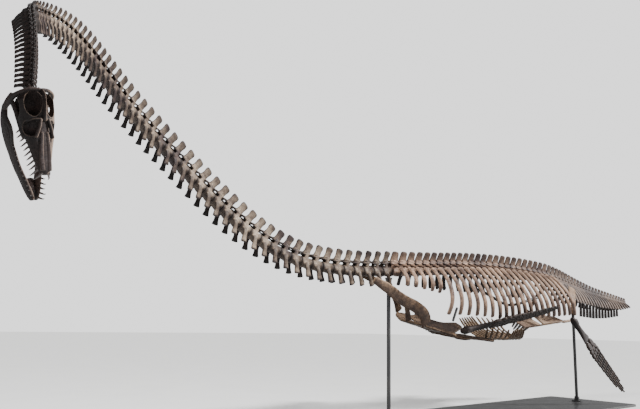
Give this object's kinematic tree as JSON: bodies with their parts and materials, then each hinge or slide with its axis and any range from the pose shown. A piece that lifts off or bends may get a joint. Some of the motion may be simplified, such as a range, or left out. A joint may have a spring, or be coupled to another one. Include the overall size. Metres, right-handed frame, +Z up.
{
  "type": "mounted plesiosaur skeleton",
  "caption": "Mounted skeleton of a long-necked plesiosaur in a swimming pose, neck arched over with the head hanging, on a flat steel base with upright rods.",
  "frame": {"origin": "middle of the bounding box at floor level, under the stand", "axes": "head and neck towards -X, tail towards +X, the animal's left side towards -Y, up is +Z"},
  "size_m": [9.7664, 3.4252, 2.8997],
  "materials": {
    "bone_tan": "matte",
    "bone_grey": "matte",
    "bone_dark": "matte",
    "steel_black": "satin"
  },
  "bodies": {
    "root": {"neck_1": "bone_grey", "neck_2": "bone_grey", "neck_3": "bone_grey", "neck_4": "bone_grey", "neck_5": "bone_grey", "neck_6": "bone_grey", "neck_7": "bone_grey", "rib_cage_left": "bone_tan", "rib_cage_right": "bone_tan", "scapula_left": "bone_tan", "scapula_right": "bone_tan", "coracoid_left": "bone_tan", "coracoid_right": "bone_tan", "pubis_left": "bone_tan", "pubis_right": "bone_tan", "ischium_left": "bone_tan", "ischium_right": "bone_tan", "ilium_left": "bone_tan", "ilium_right": "bone_tan", "belly_ribs": "bone_tan", "sacrum": "bone_grey", "tail_1": "bone_grey", "tail_2": "bone_grey", "skull": "bone_dark", "mandible": "bone_dark", "humerus_left": "bone_dark", "humerus_right": "bone_dark", "femur_left": "bone_dark", "femur_right": "bone_dark", "paddle_front_left": "bone_dark", "paddle_front_right": "bone_dark", "paddle_hind_left": "bone_dark", "paddle_hind_right": "bone_dark", "armature_rib_rail": "steel_black", "armature_shoulder_rod": "steel_black", "stand_base": "steel_black", "stand_rod_front": "steel_black", "stand_rod_rear": "steel_black"}
  },
  "joints": []
}
